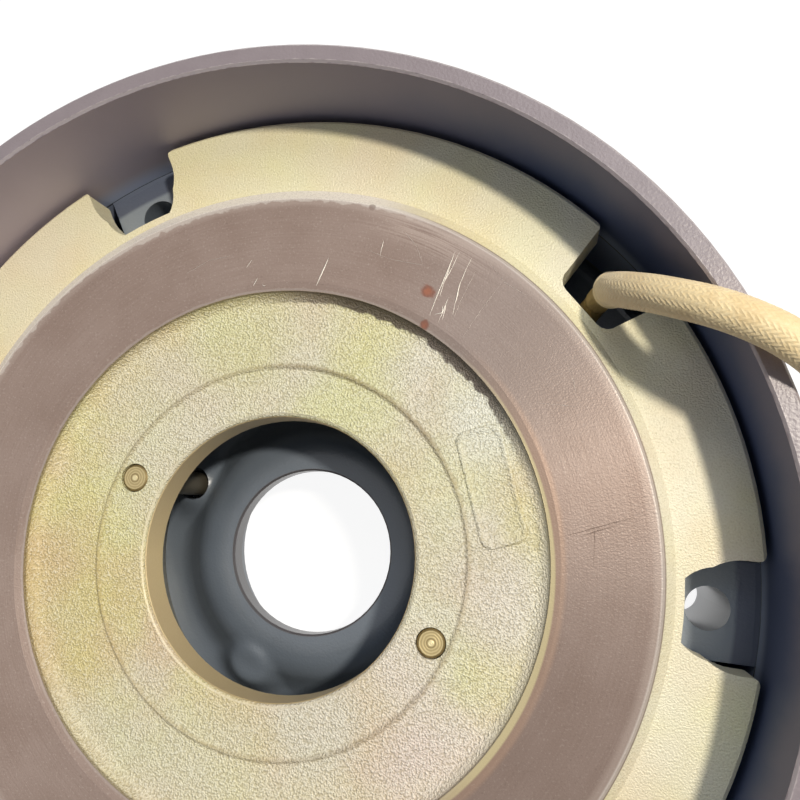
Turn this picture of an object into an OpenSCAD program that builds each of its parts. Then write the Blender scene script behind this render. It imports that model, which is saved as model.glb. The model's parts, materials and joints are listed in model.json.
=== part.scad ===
// Spring applied brake, open on its friction side.
// A cast cup holds a ring magnet. Springs push the pressure plate out, and the coil pulls it back.
// Millimetres, Z up along the brake's axis, origin on that axis at the flat back face.

/* [Housing] */
// Outside diameter of the cup
housing_d = 208.6; // [206:0.2:230]
// Height of the cup from its back face to the rim land
housing_h = 72; // [66:1:90]
// Width of the machined rim land
rim_w = 4; // [3:0.5:5]
// Thickness of the cup's floor
floor_t = 12; // [11:0.5:16]
// Radius of the fillet between floor and wall
cup_fillet = 3; // [1:0.5:6]
// Chamfer round the foot of the cup
foot_chamfer = 2; // [0.5:0.5:4]
// Diameter of the bore through the hub
hub_bore_d = 39.7; // [30:0.1:42]
// Height of the rounded hub collar above the floor
hub_rise = 10.6; // [7:0.2:14]
// Radial width of the rounded hub collar
collar_w = 13.4; // [9:0.2:13.6]
// Length of the machined hub bore
hub_web = 5; // [3:0.5:7]
// Diameter of the relief behind the hub
hub_relief_d = 52; // [46:1:54]
// Radius of the cast lug on the hub collar
lug_r = 6.5; // [4:0.5:7]
// Angle of the cast lug from +X
lug_angle = -122; // [-140:1:-60]

/* [Mounting bosses] */
// Number of bosses and plate notches
boss_count = 3; // [3]
// Angle of the first boss from +X
boss_angle = 113.5; // [105:0.5:120]
// Diameter of the bolt circle
bolt_pcd = 180; // [178:0.5:184]
// Diameter of the bolt holes
bolt_hole_d = 9; // [6.6:0.2:11]
// Diameter of the bosses
boss_d = 20.6; // [18:0.2:21]
// Height of the bosses above the floor
boss_h = 26; // [10:1:28]
// Gap between the bosses and the coil body
boss_clear = 0.5; // [0.3:0.1:1]

/* [Pressure plate] */
// Radial gap between the plate and the cup's wall
plate_gap = 1.3; // [0.8:0.1:3]
// Thickness of the plate at its outer sectors
plate_t = 9.2; // [6:0.2:10]
// Height of the friction face above the sectors
friction_rise = 2.4; // [1.6:0.2:4]
// Diameter of the friction ring at the foot of its chamfer
friction_od = 164; // [158:0.5:166]
// Inside diameter of the ground friction face
friction_id = 120; // [112:0.5:130]
// Radial width of the friction ring's outer chamfer
chamfer_w = 2.8; // [1:0.2:4]
// Radial width of the sloping lip inside the friction face
lip_w = 2; // [1:0.1:3]
// Fall of the sloping lip
lip_fall = 0.5; // [0.2:0.1:1]
// Radial width of the drafted wall below the lip
draft_w = 1; // [0.4:0.1:2]
// Depth of the cast centre below the friction face
recess = 3; // [2:0.2:4]
// Diameter of the bore in the plate
plate_bore_d = 60.4; // [50:0.2:64]
// Diameter of the cast ridge round the bore
ridge_d = 82.8; // [82:0.2:92]
// Width of the cast ridge
ridge_w = 1.2; // [0.8:0.1:2]
// Height of the cast ridge
ridge_h = 0.35; // [0.2:0.05:0.8]
// Chamfer on the plate's turned edges
plate_chamfer = 0.8; // [0.3:0.1:1.2]

/* [Plate openings] */
// Angle of the cable slot from +X
slot_angle = 38.2; // [37:0.2:39]
// Width of the cable slot at its inner end
slot_w = 15.8; // [14:0.2:18]
// Outward lean of each side of the cable slot
slot_flare = 10; // [0:1:14]
// Corner radius at the slot's inner end
slot_corner = 3; // [1:0.5:5]
// Corner radius where the openings meet the plate's edge
mouth_corner = 1.6; // [0.5:0.1:3]
// Width of the land between the friction ring and the openings
ring_land = 1.6; // [0.8:0.2:3]
// Diameter of the outer round of each bolt notch
notch_d = 21.6; // [20:0.2:24]
// Diameter of the inner round of each bolt notch
notch_neck_d = 18; // [14:0.5:19]
// Radial distance from the bolt circle out to the notch's outer round
notch_shift = 4.6; // [3:0.2:6]

/* [Coil body] */
// Height of the coil body
coil_body_h = 27.6; // [27:0.2:34]
// Inside diameter of the coil body
coil_body_id = 87; // [86:0.5:90]
// Outside diameter of the coil body
coil_body_od = 158; // [156:0.5:176]
// Inside diameter of the coil groove
groove_id = 100; // [98:0.5:104]
// Outside diameter of the coil groove
groove_od = 132; // [126:0.5:133]
// Thickness below the coil groove
groove_floor = 8; // [7:0.5:10]
// Travel of the pressure plate
air_gap = 0.8; // [0.4:0.1:1.2]
// Width of the groove that the coil's lead leaves by
lead_groove_w = 11; // [9:0.5:13]
// Depth of the lead groove below the pole face
lead_groove_h = 18; // [16:0.5:19]

/* [Coil] */
// Wall of the bobbin
bobbin_wall = 1.5; // [1:0.1:2.5]
// Depth of the potting over the bobbin
potting_h = 2.6; // [1.6:0.1:4]
// How far the potting stays below the pole face
potting_sunk = 0.6; // [0.2:0.1:1]
// Gap round the bobbin in its groove
bobbin_gap = 0.2; // [0.1:0.05:0.5]

/* [Brake springs] */
// Number of brake springs
spring_count = 8; // [8]
// Diameter of the circle that the springs stand on
spring_pcd = 145; // [143.5:0.1:145.4]
// Outside diameter of a spring
spring_d = 10; // [8:0.2:10.4]
// Diameter of the spring wire
spring_wire = 1.6; // [1:0.1:2]
// Turns in a spring
spring_turns = 6; // [5:0.5:8]
// Depth of the spring pockets
pocket_depth = 17.2; // [14:0.2:20]
// Gap round a spring in its pocket
pocket_gap = 0.5; // [0.3:0.1:0.6]

/* [Release studs] */
// Diameter of the circle that the two studs stand on
stud_pcd = 75.2; // [74.4:0.1:75.6]
// Angle of the first stud from +X
stud_angle = 153; // [145:1:160]
// Diameter of a stud
stud_d = 6; // [5:0.2:6.4]
// Gap round a stud in the plate
stud_gap = 0.2; // [0.1:0.05:0.4]
// Diameter of the collar under the plate
stud_collar_d = 9; // [8:0.2:9.6]
// Height of the collar
stud_collar_h = 3; // [2:0.5:5]
// Diameter of the stud holes in the floor
stud_hole_d = 8; // [7.2:0.1:8.2]
// Diameter of the nut pockets in the back face
nut_pocket_d = 17; // [15.5:0.1:17.5]
// Depth of the nut pockets
nut_pocket_h = 8; // [7.4:0.1:8.6]
// Width across the flats of the nuts
nut_af = 10; // [9:0.5:11]
// Height of the nuts
nut_h = 4.2; // [3:0.2:4.4]
// Diameter of the washers
washer_d = 12.4; // [11:0.2:14]
// Thickness of the washers
washer_t = 1.2; // [0.8:0.1:1.6]
// Gap between a washer and the pocket when the plate is out
seat_gap = 0.3; // [0.2:0.05:0.4]

/* [Coil body screws] */
// Number of screws that hold the coil body
screw_count = 4; // [4]
// Diameter of the screws' circle
screw_pcd = 116; // [112:1:120]
// Angle of the first screw from +X
screw_angle = 0; // [-10:1:10]
// Diameter of a screw's shank
screw_d = 6; // [5:0.5:6.5]
// Depth of the screws in the coil body
screw_grip = 6; // [4:0.5:6.4]
// Diameter of a screw's head
screw_head_d = 10; // [9:0.2:11]
// Height of a screw's head
screw_head_h = 5; // [4:0.5:6]
// Width across the flats of the hexagon socket
socket_af = 5; // [4:0.5:5]
// Diameter of the lock washers
lock_washer_d = 11; // [10:0.2:12]
// Thickness of the lock washers
lock_washer_t = 1.4; // [1:0.1:1.6]
// Gap round a screw, its head and its washer
screw_gap = 0.4; // [0.2:0.1:0.6]

/* [Coil cable] */
// Diameter of the braided cable
cable_d = 7.6; // [6:0.2:7.8]
// Diameter of the smooth lead inside the braid
lead_d = 5.2; // [4:0.2:5.6]
// Height of the lead's exit above the floor of the lead groove
lead_rise = 8.6; // [8:0.2:9]
// Length of the gland past the coil body
gland_reach = 2.4; // [1:0.2:3]
// Gap between the gland and the lead groove
gland_gap = 0.2; // [0.1:0.05:0.4]
// Diameter of one core at the free end
core_d = 2.6; // [2:0.1:3]
// Length of one core at the free end
core_len = 24; // [16:1:28]
// Diameter of the ferrules on the cores
ferrule_d = 1.8; // [1.2:0.1:2]
// Length of the ferrules
ferrule_len = 8; // [6:0.5:10]

/* [Hidden] */

round_fn = 96;
small_fn = 48;
cut = 1;

// Housing levels and radii
rim_r = housing_d / 2;
cup_r = rim_r - rim_w;
hub_r = hub_bore_d / 2;
hub_top = floor_t + hub_rise;
hub_lip = 0.6;
edge_break = 0.5;
collar_steps = 8;
fillet_steps = 4;
bolt_r = bolt_pcd / 2;
boss_angles = [for (i = [0:boss_count - 1]) boss_angle + i * 360 / boss_count];
boss_root = 1;

// Coil body and plate levels
pole_z = floor_t + coil_body_h;
groove_z = floor_t + groove_floor;
plate_z = pole_z + air_gap;
sector_z = plate_z + plate_t;
face_z = sector_z + friction_rise;
recess_z = face_z - recess;
plate_r = cup_r - plate_gap;
friction_r = friction_od / 2;
bore_r = plate_bore_d / 2;
lip_r = friction_id / 2 - lip_w;
ridge_r = ridge_d / 2;
slot_in = friction_r + ring_land;

// Coil levels and radii
bobbin_in = groove_id / 2 + bobbin_gap;
bobbin_out = groove_od / 2 - bobbin_gap;
potting_top = pole_z - potting_sunk;
bobbin_top = potting_top - potting_h;

// Springs stand between the pocket floors and the plate
spring_angles = [for (i = [0:spring_count - 1]) (i + 0.5) * 360 / spring_count];
pocket_z = pole_z - pocket_depth;
spring_gap = 0.1;
spring_sides = 6;
spring_steps = 12;
spring_r = (spring_d - spring_wire) / 2;
spring_low = pocket_z + spring_wire / 2 + spring_gap;
spring_high = plate_z - spring_wire / 2 - spring_gap;

// Studs hang in the plate and are held by nuts in the back face
stud_angles = [stud_angle, stud_angle + 180];
stud_r = stud_pcd / 2;
washer_top = nut_pocket_h - seat_gap;
nut_top = washer_top - washer_t;
stud_proud = 0.6;
stud_end = nut_top - nut_h - stud_proud;
stud_chamfer = 0.5;
stud_flush = 0.1;

// Coil body screws come up through the floor
screw_angles = [for (i = [0:screw_count - 1]) screw_angle + i * 360 / screw_count];
screw_seat = screw_head_h + lock_washer_t + screw_gap;
screw_pocket_d = lock_washer_d + 2 * screw_gap;

// Lead groove, gland and the straight lead
lead_z = pole_z - lead_groove_h;
gland_in = groove_od / 2 + gland_gap;
gland_out = coil_body_od / 2 + gland_reach;
gland_clear = 1.2;

// The cable rises out of the plate's slot, crosses the rim and comes down to the floor
cable_route = [
    [69.7, 55.0, 40.8], [70.8, 55.4, 44.8], [71.5, 55.0, 49.0], [72.2, 54.0, 53.4], [73.4, 52.6, 58.0],
    [75.4, 50.9, 62.6], [78.2, 49.0, 67.0], [81.8, 46.8, 71.0], [86.2, 44.4, 74.4], [91.4, 41.6, 76.4],
    [97.0, 38.2, 77.0], [102.4, 34.2, 75.8], [106.6, 30.0, 72.4], [109.4, 26.4, 67.0], [110.8, 23.6, 59.0],
    [111.6, 21.4, 49.0], [112.4, 19.0, 39.0], [113.6, 16.0, 29.0], [115.4, 12.0, 19.5], [118.0, 6.6, 11.0],
    [120.8, 0.0, 6.0], [123.0, -8.0, 5.0], [124.2, -16.0, 5.0]];
cable_sides = 8;
route_side = [0.6, 0.8, 0];

// The rest of the cable lies in a flat coil beside the cup
bundle_pos = [172, -16];
bundle_z = 5;
bundle_r = 47.8;
bundle_turns = 1.5;
bundle_pitch = 7.7;
bundle_in = bundle_r - bundle_turns * bundle_pitch - cable_d / 2;
bundle_out = bundle_r + cable_d / 2;
tie_t = 0.9;
tie_w = 5;
tie_gap = 0.2;
tie_angle = 250;
core_root = 1.6;
core_place = 27.6;
core_heading = 165;
core_start = bundle_pos + (bundle_in + core_root) * [cos(core_place), sin(core_place)];
core_spread = 8;
core_gap = 0.2;

// Points along an arc, from one angle to another
function arc(centre, r, from, to, steps) =
    [for (i = [0:steps]) let(a = from + (to - from) * i / steps) centre + r * [cos(a), sin(a)]];

// Faces of a closed tube made of rings of points
function tube_faces(rings, sides) = concat(
    [[for (j = [0:sides - 1]) j]],
    [for (i = [0:rings - 2], j = [0:sides - 1])
        let(k = (j + 1) % sides) [i * sides + j, (i + 1) * sides + j, (i + 1) * sides + k]],
    [for (i = [0:rings - 2], j = [0:sides - 1])
        let(k = (j + 1) % sides) [i * sides + j, (i + 1) * sides + k, i * sides + k]],
    [[for (j = [0:sides - 1]) (rings - 1) * sides + sides - 1 - j]]);

function unit(v) = v / norm(v);

// Direction of a route at one of its points
function heading(route, i) =
    unit(route[min(i + 1, len(route) - 1)] - route[max(i - 1, 0)]);

// Height of the spring's wire, with the end turns closed
function wire_z(turn) =
    let(rise = spring_high - spring_low,
        closed = spring_wire,
        open = (rise - 2 * closed) / (spring_turns - 2))
    turn < 1 ? spring_low + turn * closed
    : turn > spring_turns - 1 ? spring_high - (spring_turns - turn) * closed
    : spring_low + closed + (turn - 1) * open;

module ring_of(angles, r) {
    for (a = angles) rotate(a) translate([r, 0, 0]) children();
}

module tube_ring(outer, inner, low, high) {
    rotate_extrude($fn = round_fn)
        translate([inner, low]) square([outer - inner, high - low]);
}

// Cast cup with floor, hub collar and rim
module housing() {
    profile = concat(
        [[hub_r, hub_top - hub_web], [hub_r, hub_top - hub_lip]],
        [for (p = arc([0, 0], 1, 90, 0, collar_steps))
            [hub_r + hub_lip + (collar_w - hub_lip) * p[0], floor_t + hub_rise * p[1]]],
        arc([cup_r - cup_fillet, floor_t + cup_fillet], cup_fillet, 270, 360, fillet_steps),
        [[cup_r, housing_h - edge_break], [cup_r + edge_break, housing_h]],
        [[rim_r - edge_break, housing_h], [rim_r, housing_h - edge_break]],
        [[rim_r, foot_chamfer], [rim_r - foot_chamfer, 0]],
        [[hub_relief_d / 2, 0], [hub_relief_d / 2, hub_top - hub_web]]);
    color("slategray") difference() {
        union() {
            rotate_extrude($fn = round_fn) polygon(profile);
            for (a = boss_angles) rotate(a) boss(boss_d, boss_h);
            rotate(lug_angle) translate([hub_r + collar_w - lug_r / 2, 0, floor_t + lug_r / 2])
                sphere(r = lug_r, $fn = small_fn);
        }
        translate([0, 0, -cut]) cylinder(d = hub_relief_d, h = hub_top - hub_web + cut, $fn = round_fn);
        cylinder(d = hub_bore_d, h = hub_top + cut, $fn = round_fn);
        ring_of(boss_angles, bolt_r) translate([0, 0, -cut])
            cylinder(d = bolt_hole_d, h = floor_t + boss_h + 2 * cut, $fn = small_fn);
        ring_of(stud_angles, stud_r) translate([0, 0, -cut]) {
            cylinder(d = stud_hole_d, h = floor_t + 2 * cut, $fn = small_fn);
            cylinder(d = nut_pocket_d, h = nut_pocket_h + cut, $fn = small_fn);
        }
        ring_of(screw_angles, screw_pcd / 2) translate([0, 0, -cut]) {
            cylinder(d = screw_d + 2 * screw_gap, h = floor_t + 2 * cut, $fn = small_fn);
            cylinder(d = screw_pocket_d, h = screw_seat + cut, $fn = small_fn);
        }
    }
}

// Boss for one bolt, tied to the wall along its whole height
module boss(width, height) {
    translate([bolt_r, 0, floor_t - boss_root]) {
        cylinder(d = width, h = height + boss_root, $fn = small_fn);
        translate([0, -width / 2, 0]) cube([cup_r - bolt_r + boss_root, width, height + boss_root]);
    }
}

// Steel ring magnet with the coil groove, spring pockets and lead groove
module coil_body() {
    color("darkgray") difference() {
        tube_ring(coil_body_od / 2, coil_body_id / 2, floor_t, pole_z);
        tube_ring(groove_od / 2, groove_id / 2, groove_z, pole_z + cut);
        for (a = boss_angles) rotate(a) boss(boss_d + 2 * boss_clear, coil_body_h + cut);
        ring_of(spring_angles, spring_pcd / 2) translate([0, 0, pocket_z])
            cylinder(d = spring_d + 2 * pocket_gap, h = pocket_depth + cut, $fn = small_fn);
        rotate(slot_angle) translate([(groove_id + groove_od) / 4, -lead_groove_w / 2, lead_z])
            cube([coil_body_od / 2, lead_groove_w, lead_groove_h + cut]);
        ring_of(screw_angles, screw_pcd / 2) translate([0, 0, floor_t - cut])
            cylinder(d = screw_d, h = screw_grip + cut, $fn = small_fn);
    }
}

module coil_bobbin() {
    color("black") difference() {
        tube_ring(bobbin_out, bobbin_in, groove_z, bobbin_top);
        tube_ring(bobbin_out + cut, bobbin_in + bobbin_wall, groove_z + bobbin_wall, bobbin_top - bobbin_wall);
    }
}

module coil_winding() {
    color("peru")
        tube_ring(bobbin_out - bobbin_wall, bobbin_in + bobbin_wall + bobbin_gap,
                  groove_z + bobbin_wall, bobbin_top - bobbin_wall);
}

module potting_ring() {
    color("saddlebrown") tube_ring(bobbin_out, bobbin_in, bobbin_top, potting_top);
}

// Chromated casting with the ground friction ring, a bore, three bolt notches and the cable slot
module pressure_plate() {
    c = plate_chamfer;
    profile = [
        [bore_r, plate_z], [plate_r - c, plate_z], [plate_r, plate_z + c], [plate_r, sector_z - c],
        [plate_r - c, sector_z], [friction_r, sector_z], [friction_r - chamfer_w, face_z],
        [lip_r + lip_w, face_z], [lip_r, face_z - lip_fall], [lip_r - draft_w, recess_z],
        [ridge_r + ridge_w / 2, recess_z], [ridge_r, recess_z + ridge_h], [ridge_r - ridge_w / 2, recess_z],
        [bore_r + c, recess_z], [bore_r, recess_z - c]];
    color("palegoldenrod") difference() {
        rotate_extrude($fn = round_fn) polygon(profile);
        translate([0, 0, plate_z - cut]) linear_extrude(face_z - plate_z + 2 * cut) {
            for (a = boss_angles) rotate(a) notch_outline();
            rotate(slot_angle) slot_outline();
        }
        ring_of(stud_angles, stud_r) translate([0, 0, plate_z - cut])
            cylinder(d = stud_d + 2 * stud_gap, h = face_z, $fn = small_fn);
    }
}

// Round of the corner between an opening's side and the plate's edge
function mouth(half_width) =
    let(y = half_width + mouth_corner, x = sqrt(plate_r * plate_r - y * y) - mouth_corner)
    concat(arc([x, y], mouth_corner, -90, 0, fillet_steps), [[plate_r + cut, y]]);

// One side of an opening, followed by its mirror image
function both_sides(side) = concat(side, [for (i = [len(side) - 1:-1:0]) [side[i][0], -side[i][1]]]);

// Two rounds open to the plate's edge, stopped at the land round the friction ring
module notch_outline() {
    outer_x = bolt_r + notch_shift;
    difference() {
        union() {
            translate([bolt_r, 0]) circle(d = notch_neck_d, $fn = small_fn);
            translate([outer_x, 0]) circle(d = notch_d, $fn = small_fn);
            polygon(both_sides(concat([[outer_x, notch_d / 2]], mouth(notch_d / 2))));
        }
        circle(r = slot_in, $fn = round_fn);
    }
}

// Flared slot with round inner corners
module slot_outline() {
    near = slot_w / 2;
    far = near + (plate_r - mouth_corner - slot_in) * tan(slot_flare);
    inner = arc([slot_in + slot_corner, near - slot_corner], slot_corner, 180, 90, fillet_steps);
    polygon(both_sides(concat(inner, mouth(far))));
}

// Closed helical spring, one solid per pocket
module brake_spring(i) {
    rings = spring_turns * spring_steps + 1;
    points = [for (n = [0:rings - 1], j = [0:spring_sides - 1])
        let(turn = n / spring_steps,
            a = 360 * turn,
            b = 360 * j / spring_sides,
            r = spring_r + spring_wire / 2 * cos(b))
        [r * cos(a), r * sin(a), wire_z(turn) + spring_wire / 2 * sin(b)]];
    color("dimgray") ring_of([spring_angles[i]], spring_pcd / 2)
        polyhedron(points, tube_faces(rings, spring_sides));
}

// Stud whose end lies flush in the plate, with a collar under it
module release_stud(i) {
    radius = stud_d / 2;
    top = recess_z - stud_flush;
    profile = [
        [0, stud_end], [radius - stud_chamfer, stud_end], [radius, stud_end + stud_chamfer],
        [radius, plate_z - stud_collar_h], [stud_collar_d / 2, plate_z - stud_collar_h],
        [stud_collar_d / 2, plate_z], [radius, plate_z], [radius, top - stud_chamfer],
        [radius - stud_chamfer, top], [0, top]];
    color("goldenrod") ring_of([stud_angles[i]], stud_r) rotate_extrude($fn = small_fn) polygon(profile);
}

module stud_washer(i) {
    color("silver") ring_of([stud_angles[i]], stud_r) difference() {
        translate([0, 0, nut_top]) cylinder(d = washer_d, h = washer_t, $fn = small_fn);
        cylinder(d = stud_d + 2 * stud_gap, h = washer_top + cut, $fn = small_fn);
    }
}

module stud_nut(i) {
    color("silver") ring_of([stud_angles[i]], stud_r) difference() {
        translate([0, 0, nut_top - nut_h]) cylinder(d = nut_af / cos(30), h = nut_h, $fn = 6);
        cylinder(d = stud_d, h = nut_top + cut, $fn = small_fn);
    }
}

// Socket head screws, heads sunk in the back face
module coil_body_screws() {
    head_z = screw_seat - lock_washer_t - screw_head_h;
    color("dimgray") ring_of(screw_angles, screw_pcd / 2) difference() {
        union() {
            translate([0, 0, head_z]) cylinder(d = screw_head_d, h = screw_head_h, $fn = small_fn);
            translate([0, 0, head_z]) cylinder(d = screw_d, h = floor_t + screw_grip - head_z, $fn = small_fn);
        }
        translate([0, 0, head_z - cut]) cylinder(d = socket_af / cos(30), h = screw_head_h / 2 + cut, $fn = 6);
    }
}

module lock_washers() {
    color("silver") ring_of(screw_angles, screw_pcd / 2) difference() {
        translate([0, 0, screw_seat - lock_washer_t]) cylinder(d = lock_washer_d, h = lock_washer_t, $fn = small_fn);
        cylinder(d = screw_d + 2 * screw_gap, h = screw_seat + cut, $fn = small_fn);
    }
}

// Moulded gland in the lead groove, with a round nose that the lead comes out of
module cable_gland() {
    width = lead_groove_w - 2 * gland_gap;
    top = pole_z - gland_clear;
    color("darkslategray") rotate(slot_angle) difference() {
        union() {
            translate([gland_in, -width / 2, lead_z])
                cube([coil_body_od / 2 - gland_in, width, top - lead_z]);
            translate([coil_body_od / 2, 0, lead_z + lead_rise - width / 2]) rotate([0, 90, 0])
                translate([-width / 2, 0, -cut]) cylinder(d = width, h = gland_reach + cut, $fn = small_fn);
        }
        tube_ring(gland_in, gland_in - width, lead_z - cut, top + cut);
    }
}

// Smooth lead between the gland and the start of the braid
module lead_sleeve() {
    from = [gland_out * cos(slot_angle), gland_out * sin(slot_angle), lead_z + lead_rise];
    to = cable_route[0];
    along = to - from;
    color("darkkhaki") translate(from)
        rotate([0, acos(along[2] / norm(along)), atan2(along[1], along[0])])
            cylinder(d = lead_d, h = norm(along), $fn = small_fn);
}

// Braided cable along its free route
module coil_cable() {
    rings = len(cable_route);
    points = [for (n = [0:rings - 1], j = [0:cable_sides - 1])
        let(t = heading(cable_route, n),
            side = unit(cross(t, route_side)),
            up = cross(t, side),
            a = 360 * j / cable_sides)
        cable_route[n] + cable_d / 2 * (cos(a) * side + sin(a) * up)];
    color("wheat") polyhedron(points, tube_faces(rings, cable_sides));
}

// Outer shape of the flat coil that the rest of the cable lies in
module cable_bundle() {
    color("wheat") translate([bundle_pos[0], bundle_pos[1], 0])
        tube_ring(bundle_out, bundle_in, bundle_z - cable_d / 2, bundle_z + cable_d / 2);
}

module cable_tie() {
    long = bundle_out - bundle_in + 2 * tie_gap;
    tall = cable_d + 2 * tie_gap;
    color("ivory") translate([bundle_pos[0], bundle_pos[1], bundle_z]) rotate(tie_angle)
        translate([(bundle_out + bundle_in) / 2, 0, 0]) difference() {
            cube([long + 2 * tie_t, tie_w, tall + 2 * tie_t], center = true);
            cube([long, tie_w + cut, tall], center = true);
        }
}

// Two cores at the free end, each with a crimped ferrule
module lead_ends() {
    color("firebrick") for (side = [-1, 1])
        translate([core_start[0], core_start[1], bundle_z + side * (core_d / 2 + core_gap)])
            rotate([0, 90, core_heading + core_spread * side]) {
                cylinder(d = core_d, h = core_len, $fn = small_fn);
                translate([0, 0, core_len]) cylinder(d = ferrule_d, h = ferrule_len, $fn = small_fn);
            }
}

housing();
coil_body();
coil_bobbin();
coil_winding();
potting_ring();
pressure_plate();
for (i = [0:spring_count - 1])
    brake_spring(i);
for (i = [0:1]) {
    release_stud(i);
    stud_washer(i);
    stud_nut(i);
}
coil_body_screws();
lock_washers();
cable_gland();
lead_sleeve();
coil_cable();
cable_bundle();
cable_tie();
lead_ends();
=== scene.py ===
import bpy
import json
import math
from functools import partial
from mathutils import Matrix, Vector


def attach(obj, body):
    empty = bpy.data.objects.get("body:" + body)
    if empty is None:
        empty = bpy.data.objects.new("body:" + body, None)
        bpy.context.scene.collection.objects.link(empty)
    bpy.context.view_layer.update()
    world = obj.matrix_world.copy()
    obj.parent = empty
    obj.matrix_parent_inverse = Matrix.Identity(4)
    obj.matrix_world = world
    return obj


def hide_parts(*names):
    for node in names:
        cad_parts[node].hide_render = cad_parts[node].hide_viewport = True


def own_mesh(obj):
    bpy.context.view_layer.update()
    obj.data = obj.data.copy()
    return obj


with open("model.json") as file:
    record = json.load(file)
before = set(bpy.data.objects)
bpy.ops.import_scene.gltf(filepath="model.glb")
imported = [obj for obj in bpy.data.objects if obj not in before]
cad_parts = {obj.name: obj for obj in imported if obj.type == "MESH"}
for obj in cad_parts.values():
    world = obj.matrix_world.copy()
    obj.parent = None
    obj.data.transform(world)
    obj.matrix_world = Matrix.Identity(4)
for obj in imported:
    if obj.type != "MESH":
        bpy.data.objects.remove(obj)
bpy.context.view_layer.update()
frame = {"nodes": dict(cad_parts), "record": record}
cadNodes = frame["nodes"]
print("frame loaded with", len(cadNodes), "nodes")

mm = 0.001  # the frame is in metres, and sizes below are in millimetres


def linearColour(code):
    # sRGB hex to the linear colour that a shader takes
    channels = [int(code[i:i + 2], 16) / 255 for i in (1, 3, 5)]
    return [c / 12.92 if c <= 0.04045 else ((c + 0.055) / 1.055) ** 2.4 for c in channels] + [1]


def connect(tree, node, links):
    # a socket is linked, anything else is set as a value; a list holds the first inputs in order
    for key, value in links.items() if isinstance(links, dict) else enumerate(links):
        if isinstance(value, bpy.types.NodeSocket):
            tree.links.new(value, node.inputs[key])
        else:
            node.inputs[key].default_value = value


def addNode(tree, kind, links=(), op=None, out=0, **settings):
    # one node with its settings; gives back one of its outputs, or all where out is None
    node = tree.nodes.new(kind if "Node" in kind else "ShaderNode" + kind)
    if op:
        node.operation = op
    for name, value in settings.items():
        setattr(node, name, value)
    connect(tree, node, links)
    return node.outputs if out is None else node.outputs[out]


def newPiece(name, verts, faces, material):
    mesh = bpy.data.meshes.new(name)
    mesh.from_pydata(verts, [], faces)
    mesh.materials.append(material)
    mesh.shade_smooth()
    piece = bpy.data.objects.new(name, mesh)
    bpy.context.collection.objects.link(piece)
    return piece


# Camera, at the photograph's viewpoint
cameraPlace = {
    "location": (57.6, 8.4, 216.0),
    "right": (0.98377, 0.0, -0.1794),
    "up": (0.0273, 0.9883, 0.1498),
    "back": (0.1773, -0.1522, 0.9723),
    "lens": 36,
    "sensor": 36,
    "shiftY": -0.008,
    "clipStart": 5,
}


def makeCamera(c):
    data = bpy.data.cameras.new("benchCamera")
    data.lens = c["lens"]
    data.sensor_width = c["sensor"]
    data.shift_y = c["shiftY"]
    data.clip_start = c["clipStart"] * mm
    camera = bpy.data.objects.new("benchCamera", data)
    bpy.context.collection.objects.link(camera)
    turn = Matrix((c["right"], c["up"], c["back"])).transposed()
    camera.matrix_world = Matrix.Translation(Vector(c["location"]) * mm) @ turn.to_4x4()
    bpy.context.scene.camera = camera


makeCamera(cameraPlace)


# Light: a window from the right, a wide patch of sky and a pale room round both
lightPlan = {
    "lamps": [
        # name, where it comes from, distance, width, watts and colour
        ("windowLight", (12.0, 4.8, 23.5), 1200, 90, 10.8, "#fff6e6"),
        ("skyLight", (5.0, 12.0, 20.0), 1200, 520, 2.6, "#f4f7ff"),
    ],
    "roomColour": "#d9e4f8",
    "roomStrength": 0.17,
    "floorColour": "#efeeea",
    "floorWidth": 4000,
    "floorDrop": 0.3,
    "floorGlow": 0.92,
    "floorShade": 0.16,
}


def seenDirectly(tree):
    # 1 for rays that should meet the plain white surroundings
    path = addNode(tree, "LightPath", out=None)
    seen = path["Is Camera Ray"]
    for ray in ("Is Glossy Ray", "Is Transmission Ray"):
        seen = addNode(tree, "Math", [seen, path[ray]], op="MAXIMUM")
    return seen


def makeLight(c):
    for name, comesFrom, distance, width, watts, code in c["lamps"]:
        lamp = bpy.data.lights.new(name, "AREA")
        lamp.shape = "DISK"
        lamp.size = width * mm
        lamp.energy = watts
        lamp.color = linearColour(code)[:3]
        placed = bpy.data.objects.new(name, lamp)
        bpy.context.collection.objects.link(placed)
        towards = Vector(comesFrom).normalized()
        placed.location = towards * distance * mm
        placed.rotation_euler = towards.to_track_quat("Z", "Y").to_euler()

    world = bpy.data.worlds.new("paleRoom")
    bpy.context.scene.world = world
    world.use_nodes = True
    tree = world.node_tree
    tree.nodes.clear()
    room = addNode(tree, "Background", [linearColour(c["roomColour"]), c["roomStrength"]])
    white = addNode(tree, "Background", [(1, 1, 1, 1), 1])
    both = addNode(tree, "MixShader", [seenDirectly(tree), room, white])
    addNode(tree, "OutputWorld", [both], out=None)

    # pale floor, white where the camera sees it and darker in the object's shadow
    paper = bpy.data.materials.new("paleFloor")
    paper.use_nodes = True
    tree = paper.node_tree
    tree.nodes.clear()
    plain = addNode(tree, "BsdfDiffuse", [linearColour(c["floorColour"])])
    glow = addNode(tree, "Emission", [(1, 1, 1, 1), c["floorGlow"]])
    shade = addNode(tree, "BsdfDiffuse", [[c["floorShade"]] * 3 + [1]])
    bright = addNode(tree, "AddShader", [glow, shade])
    both = addNode(tree, "MixShader", [seenDirectly(tree), plain, bright])
    addNode(tree, "OutputMaterial", [both], out=None)
    half = c["floorWidth"] * mm / 2
    low = -c["floorDrop"] * mm
    corners = [(-half, -half, low), (half, -half, low), (half, half, low), (-half, half, low)]
    floor = newPiece("benchTop", corners, [(0, 1, 2, 3)], paper)
    bpy.context.scene.view_settings.view_transform = "Standard"


makeLight(lightPlan)
print("camera, light and floor placed")


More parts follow.
